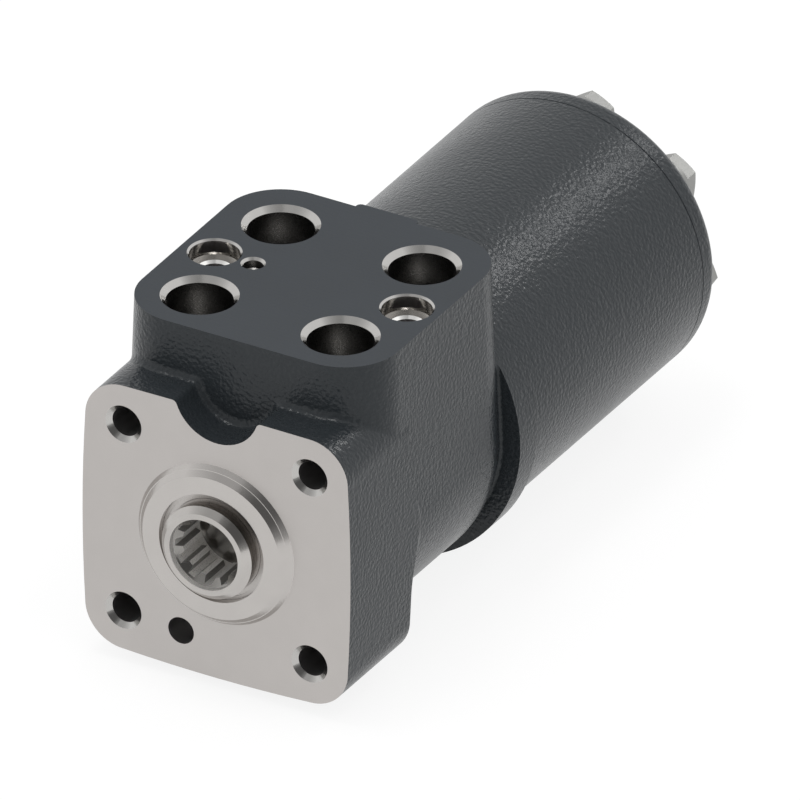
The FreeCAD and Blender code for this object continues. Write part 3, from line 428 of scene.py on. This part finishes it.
# %% One finish each
WHOLE_FINISH = {
    "cover_screws": ZINC_PLATE,
    "pin_screw": ZINC_PLATE,
    "screw_washers": ZINC_PLATE,
    "housing_o_ring": SEAL_RUBBER,
    "plate_o_ring": SEAL_RUBBER,
    "cover_o_ring": SEAL_RUBBER,
    "shaft_seal_o_ring": SEAL_RUBBER,
    "shaft_glide_ring": GLIDE_PLASTIC,
    "dust_seal": SEAL_CASE,
    "bearing_outer_race": BEARING_STEEL,
    "bearing_inner_race": BEARING_STEEL,
    "bearing_needles": BEARING_STEEL,
    "bearing_cage": CAGE_BRASS,
    "control_sleeve": GROUND_STEEL,
    "cross_pin": BEARING_STEEL,
    "retaining_ring": SPRING_STEEL,
    "centring_springs": SPRING_STEEL,
    "cardan_shaft": GROUND_STEEL,
    "rotor": GROUND_STEEL,
    "spacer": GROUND_STEEL,
    "check_ball": BEARING_STEEL,
    "check_ball_stop": GROUND_STEEL,
}


def dress(node, finishes):
    """Gives a CAD node its material slots, in order."""
    slots = frame["nodes"][node].data.materials
    slots.clear()
    for finish in finishes:
        slots.append(finish)


for node, finish in WHOLE_FINISH.items():
    dress(node, [finish])
print("dressed", len(WHOLE_FINISH), "nodes")

# %% [markdown]
# A casting is bare where a cutter went over it and painted where none did. The mesh is one piece, so
# each small face chooses its slot by where it lies and which way it looks. This function walks over
# the faces of one node and asks a rule for each of them.

# %% Sort the faces of a node into its slots
def choose_faces(node, finishes, pick):
    """Dresses a node, and sets each face's slot from its middle and its normal."""
    dress(node, finishes)
    counts = [0] * len(finishes)
    for face in frame["nodes"][node].data.polygons:
        face.material_index = pick(face.center, face.normal)
        counts[face.material_index] += 1
    print(node, {finish.name: n for finish, n in zip(finishes, counts)})


FLUSH = 0.05 * MM
print("faces within", FLUSH / MM, "mm of a plane count as on it")

# %% [markdown]
# The rule for the housing has to know where its holes are. Their places and sizes come from the
# model's own list of mounts: the column's four bolts, the four oil ports and the two valve bolts.
# Only the dowel hole and the small locating hole are no mounts, so they are given here.

# %% Where the holes are
DOWEL_PLACE = Vector((-11.1, 0, -30.3)) * MM
DOWEL_REACH = 4.1 * MM
LOCATOR_PLACE = Vector((-18.1, 51.25, 0)) * MM
LOCATOR_REACH = 3.5 * MM

bolt_half = mounts["column_bolts"]["dims"]["spacing_x_mm"] / 2 * MM
column_taps = [Vector((sx * bolt_half, 0, sz * bolt_half)) for sx in (-1, 1) for sz in (-1, 1)]
tap_radius = mounts["column_bolts"]["dims"]["hole_r_mm"] * MM
port_places = [Vector(m["pos_m"]) for m in mounts.values() if m["kind"] == "threaded_hole"]
port_radius = mounts["port_tank"]["dims"]["r_mm"] * MM
valve_centre = Vector(mounts["valve_bolts"]["pos_m"])
valve_half = mounts["valve_bolts"]["dims"]["spacing_x_mm"] / 2 * MM
valve_places = [valve_centre + Vector((side * valve_half, 0, 0)) for side in (-1, 1)]


def off_axis_y(point, place):
    """How far a point lies from a line along Y."""
    return math.hypot(point.x - place.x, point.z - place.z)


def off_axis_z(point, place):
    """How far a point lies from a line along Z."""
    return math.hypot(point.x - place.x, point.y - place.y)


print("holes", len(column_taps), "taps,", len(port_places), "ports,", len(valve_places), "valve bolts")

# %% [markdown]
# Each port is a plain bore with a bright chamfer. A valve bolt's hole is wider at its mouth: a
# chamfer, then a sink for the bolt's sleeve, then a narrow ledge round the thread. The tool leaves
# that ledge polished, so it mirrors the white room, and its near-white colour adds a painted
# highlight that makes it the brightest spot on the top. What is left of the top, round the holes,
# is the painted port face.

# %% The housing's slots, and the rule for its top
HOUSING_FINISHES = [PAINTED_CASTING, PAINTED_FACE, FLANGE_FACE, BOSS_METAL, EDGE_METAL, BORE_SHADE_METAL,
                    TAP_METAL, SINK_METAL, CREST_HIGHLIGHT_METAL, VALVE_BORE, JOINT_FACE]
CAST, FACE, FLANGE, BOSS, EDGE, BORE, TAP, SINK, CREST, HONED, JOINT = range(len(HOUSING_FINISHES))
PORT_FACE_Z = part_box("housing")[1].z
PORT_REACH = 11.0 * MM
SINK_REACH = 7.7 * MM
SINK_LEDGE_REACH = 4.95 * MM
SINK_CHAMFER_DEPTH = 0.6 * MM
VALVE_TAP_R = 4.25 * MM
LOCATOR_CHAMFER_DEPTH = 0.75 * MM


def top_slot(point):
    """The slot of a face in the port face or its holes, or None for a face elsewhere."""
    below = point.z < PORT_FACE_Z - FLUSH
    for place in port_places:
        reach = off_axis_z(point, place)
        if reach < port_radius + FLUSH:
            return BORE
        if reach < PORT_REACH and below:
            return EDGE
    for place in valve_places:
        reach = off_axis_z(point, place)
        if reach < VALVE_TAP_R + FLUSH:
            return TAP
        if reach < SINK_LEDGE_REACH:
            return CREST
        if reach < SINK_REACH and below:
            return EDGE if point.z > PORT_FACE_Z - SINK_CHAMFER_DEPTH else SINK
    if off_axis_z(point, LOCATOR_PLACE) < LOCATOR_REACH and below:
        return EDGE if point.z > PORT_FACE_Z - LOCATOR_CHAMFER_DEPTH else BORE
    return FACE if point.z > PORT_FACE_Z - FLUSH else None


print("port face at", round(PORT_FACE_Z / MM, 2), "mm")

# %% [markdown]
# The flange is milled flat, so its face is bare up to its edge. The boss in its middle is turned,
# and so is the mouth of the bore that holds the spool. Behind that the bore is honed to a fine grey.
# All that is left over is raw casting, and gets the paint.

# %% The rule for the whole housing
HOUSING_REAR_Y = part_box("housing")[1].y
PORT_SIDE_Z = 30 * MM
RECESS_REACH = 25.0 * MM
TAP_REACH = 5.8 * MM
TAP_END_Y = 30 * MM
BOSS_BORE_REACH = 17 * MM
BOSS_BORE_END_Y = 5 * MM
FACING_COLUMN = -0.3


def flange_hole_slot(point, normal):
    """The slot of a face in one of the flange's holes, or None for a face elsewhere."""
    for place in column_taps:
        reach = off_axis_y(point, place)
        if reach < tap_radius + FLUSH:
            return TAP
        if reach < TAP_REACH and normal.y < FACING_COLUMN:
            return EDGE
    return TAP if off_axis_y(point, DOWEL_PLACE) < DOWEL_REACH else None


def housing_face(point, normal):
    """The slot of one face of the housing."""
    shaft = math.hypot(point.x, point.z)
    slot = None
    if point.z > PORT_SIDE_Z and shaft > RECESS_REACH:
        slot = top_slot(point)
    if slot is None and FLUSH < point.y < TAP_END_Y:
        slot = flange_hole_slot(point, normal)
    if slot is not None:
        return slot
    if point.y < -FLUSH or (shaft < BOSS_BORE_REACH and point.y < BOSS_BORE_END_Y):
        return BOSS
    if point.y < FLUSH:
        return FLANGE
    if shaft < RECESS_REACH:
        return HONED
    if point.y > HOUSING_REAR_Y - FLUSH:
        return JOINT
    return CAST


choose_faces("housing", HOUSING_FINISHES, housing_face)

# %% [markdown]
# The plate, the gear rim and the end cover are painted outside only. Their joint faces, holes and
# the rim's lobed cavity are ground or bored. The cover's rear edge is rounded, so its paint starts
# a little further in.

# %% Gear section
COVER_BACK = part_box("end_cover")[1].y
PAINT_DEPTH = 0.4 * MM
COVER_ROUND = 4.3 * MM
COVER_ROUND_START = RIM_OUTSIDE - COVER_ROUND


def painted_outside(point, normal):
    """The slot of one face of the plate or the rim: paint on the round outside, bare elsewhere."""
    return 0 if math.hypot(point.x, point.z) > RIM_OUTSIDE - PAINT_DEPTH else 1


def cover_face(point, normal):
    """The slot of one face of the end cover: paint outside and behind, bare holes and joint face."""
    outward = point.x * normal.x + point.z * normal.z
    rounded = math.hypot(point.x, point.z) > COVER_ROUND_START and outward > 0
    return 0 if rounded or point.y > COVER_BACK - FLUSH else 1


choose_faces("distributor_plate", [PAINTED_CASTING, GROUND_STEEL], painted_outside)
choose_faces("gear_rim", [PAINTED_CASTING, GROUND_STEEL], painted_outside)
choose_faces("end_cover", [PAINTED_CASTING, GROUND_STEEL], cover_face)

# %% [markdown]
# The column's shaft plugs into the spool's socket. A smooth mouth leads it in, and twelve teeth hold
# it. What makes the teeth stand out to the eye is their darker sides, whose colour is painted shade
# for the shadow between the teeth, and their dull ends, where the mouth's cutter met them.

# %% Spool
SPOOL_FRONT_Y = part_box("control_spool")[0].y
SOCKET_WALL_R = 10.8 * MM
TEETH_START_Y = -2.0 * MM
TEETH_END_Y = 6.4 * MM
FACING_MOUTH = -0.5
FACING_AXIS = 0.8


def spool_face(point, normal):
    """The slot of one face of the spool: bright outside, and three finishes in its socket."""
    shaft = math.hypot(point.x, point.z)
    if shaft > SOCKET_WALL_R or point.y < SPOOL_FRONT_Y + FLUSH:
        return 0
    if normal.y < FACING_MOUTH:
        return 2
    inward = -(point.x * normal.x + point.z * normal.z) / shaft
    return 3 if TEETH_START_Y < point.y < TEETH_END_Y and inward < FACING_AXIS else 1


choose_faces("control_spool", [SPOOL_STEEL, SOCKET_LIT_STEEL, TOOTH_END, TOOTH_FLANK_SHADE], spool_face)

# %% [markdown]
# The room is plain: a white world, a white floor, two cards and two lamps. The camera and every
# mirror see the world as pure white, which makes the white background. As a light it is weaker, so
# that the lamps still shape the object and the pale faces don't burn out.

# %% World
AMBIENT = 0.75
BACKDROP = 1.0
WHITE = (1.0, 1.0, 1.0, 1.0)

world = bpy.data.worlds.new("studio")
bpy.context.scene.world = world
world.use_nodes = True
nodes = world.node_tree.nodes
links = world.node_tree.links
nodes.clear()


def glow_of_world(strength):
    """A white Background node of this strength."""
    background = nodes.new("ShaderNodeBackground")
    background.inputs["Color"].default_value = WHITE
    background.inputs["Strength"].default_value = strength
    return background


lighting = glow_of_world(AMBIENT)
backdrop = glow_of_world(BACKDROP)
light_path = nodes.new("ShaderNodeLightPath")
seen = nodes.new("ShaderNodeMath")
seen.operation = "ADD"
seen_all = nodes.new("ShaderNodeMath")
seen_all.operation = "ADD"
seen_all.use_clamp = True
mixed = nodes.new("ShaderNodeMixShader")
world_output = nodes.new("ShaderNodeOutputWorld")
links.new(light_path.outputs["Is Camera Ray"], seen.inputs[0])
links.new(light_path.outputs["Is Glossy Ray"], seen.inputs[1])
links.new(seen.outputs[0], seen_all.inputs[0])
links.new(light_path.outputs["Is Transmission Ray"], seen_all.inputs[1])
links.new(seen_all.outputs[0], mixed.inputs[0])
links.new(lighting.outputs[0], mixed.inputs[1])
links.new(backdrop.outputs[0], mixed.inputs[2])
links.new(mixed.outputs[0], world_output.inputs["Surface"])
print("world lights at", AMBIENT, "and shows at", BACKDROP)

# %% [markdown]
# Bare metal is a mirror, and in a room that is white all round it turns into a flat white patch. A
# photographer sets cards beside the camera for this. A dark one stands low on the right and a grey
# one high on the left. Only reflections see them, so they give the boss, the spool and the chamfers
# their dark sides, and take no light from the rest. They fade out towards their edges, so that no
# hard line shows in the metal.

# %% Cards for the metal to mirror
CARDS = {
    "dark_card": {"direction": (0.55, -0.67, 0.46), "distance": 1.5, "half": (1.90, 2.10),
                  "grey": 0.14, "full_within": 0.20},
    "grey_card": {"direction": (-0.22, -0.58, 0.78), "distance": 1.7, "half": (1.70, 1.30),
                  "grey": 0.56, "full_within": 0.15},
}


def flat_board(name, half_width, half_height):
    """A board in the level plane, about the origin, as part of the stage."""
    mesh = bpy.data.meshes.new(name)
    shape = bmesh.new()
    bmesh.ops.create_grid(shape, x_segments=1, y_segments=1, size=1.0)
    bmesh.ops.scale(shape, verts=shape.verts, vec=(half_width, half_height, 1.0))
    shape.to_mesh(mesh)
    shape.free()
    board = bpy.data.objects.new(name, mesh)
    bpy.context.scene.collection.objects.link(board)
    return board


def card_paper(name, card):
    """A grey that only glows and fades out towards an oval edge."""
    paper = Finish(name + "_paper")
    x, y = paper.split()[:2]
    across = x / card["half"][0]
    up = y / card["half"][1]
    inside = ((across * across + up * up) ** 0.5).between(1.0, card["full_within"])
    glow = paper.tree.nodes.new("ShaderNodeEmission")
    glow.inputs["Color"].default_value = (card["grey"], card["grey"], card["grey"], 1.0)
    clear = paper.tree.nodes.new("ShaderNodeBsdfTransparent")
    mix = paper.tree.nodes.new("ShaderNodeMixShader")
    paper.tree.links.new(inside.socket, mix.inputs[0])
    paper.tree.links.new(clear.outputs[0], mix.inputs[1])
    paper.tree.links.new(glow.outputs[0], mix.inputs[2])
    paper.tree.links.new(mix.outputs[0], paper.tree.nodes["Material Output"].inputs["Surface"])
    return paper.material


for name, card in CARDS.items():
    board = flat_board(name, *card["half"])
    way = Vector(card["direction"]).normalized()
    board.location = way * card["distance"]
    board.rotation_mode = "QUATERNION"
    board.rotation_quaternion = (-way).to_track_quat("-Z", "Y")
    board.visible_diffuse = False
    board.visible_shadow = False
    board.visible_camera = False
    board.data.materials.append(card_paper(name, card))
    print(name, "grey", card["grey"])

# %% [markdown]
# The unit lies on a white floor, just under its lowest point. Lit white paper never looks quite as
# white as the background, so part of what the camera sees of this floor is its own glow. The other
# part is ordinary paper, and that part keeps the object's soft shadow.

# %% Floor
FLOOR_HALF = 3.0
FLOOR_COLOUR = (0.86, 0.86, 0.86, 1.0)
FLOOR_SHARE = 0.80
FLOOR_GLOW = 1.08

floor = flat_board("floor", FLOOR_HALF, FLOOR_HALF)
floor.data.transform(Matrix.Translation((0, 0, cad_low.z)))


def floor_finish():
    """A white floor that glows for the camera and still takes the object's shadow."""
    pale = Finish("floor_white", Base_Color=FLOOR_COLOUR, Roughness=0.9)
    path = pale.tree.nodes.new("ShaderNodeLightPath")
    seen = Field(pale, path.outputs["Is Camera Ray"]) + Field(pale, path.outputs["Is Glossy Ray"])
    seen = seen + Field(pale, path.outputs["Is Transmission Ray"])
    glow = pale.tree.nodes.new("ShaderNodeEmission")
    glow.inputs["Strength"].default_value = FLOOR_GLOW
    mix = pale.tree.nodes.new("ShaderNodeMixShader")
    pale.tree.links.new((seen * FLOOR_SHARE).socket, mix.inputs[0])
    pale.tree.links.new(pale.shader.outputs[0], mix.inputs[1])
    pale.tree.links.new(glow.outputs[0], mix.inputs[2])
    pale.tree.links.new(mix.outputs[0], pale.tree.nodes["Material Output"].inputs["Surface"])
    return pale.material


floor.data.materials.append(floor_finish())
print("floor at z", round(cad_low.z / MM, 2), "mm")

# %% [markdown]
# Two softboxes do the modelling. A small one behind the object, high on the right, draws the long
# broken highlight down the gear section. A larger one overhead lifts everything that looks up and
# draws the shadow under the unit. Their powers are in watts at about a metre.

# %% Lamps
LAMPS = {
    "back_softbox": {"direction": (0.28, 0.75, 0.597), "distance": 0.9, "size": 0.14, "power": 0.72},
    "overhead_softbox": {"direction": (-0.10, -0.08, 0.99), "distance": 1.0, "size": 0.3, "power": 2.2},
}

middle = (cad_low + cad_high) / 2
for name, lamp in LAMPS.items():
    data = bpy.data.lights.new(name, "AREA")
    data.shape = "SQUARE"
    data.size = lamp["size"]
    data.energy = lamp["power"]
    way = Vector(lamp["direction"]).normalized()
    light = bpy.data.objects.new(name, data)
    light.location = middle + way * lamp["distance"]
    light.rotation_mode = "QUATERNION"
    light.rotation_quaternion = (-way).to_track_quat("-Z", "Y")
    bpy.context.scene.collection.objects.link(light)
    print(name, "power", lamp["power"])

# %% [markdown]
# The Standard view shows each colour as it was worked out, which a white background needs.

# %% View
bpy.context.scene.view_settings.view_transform = "Standard"
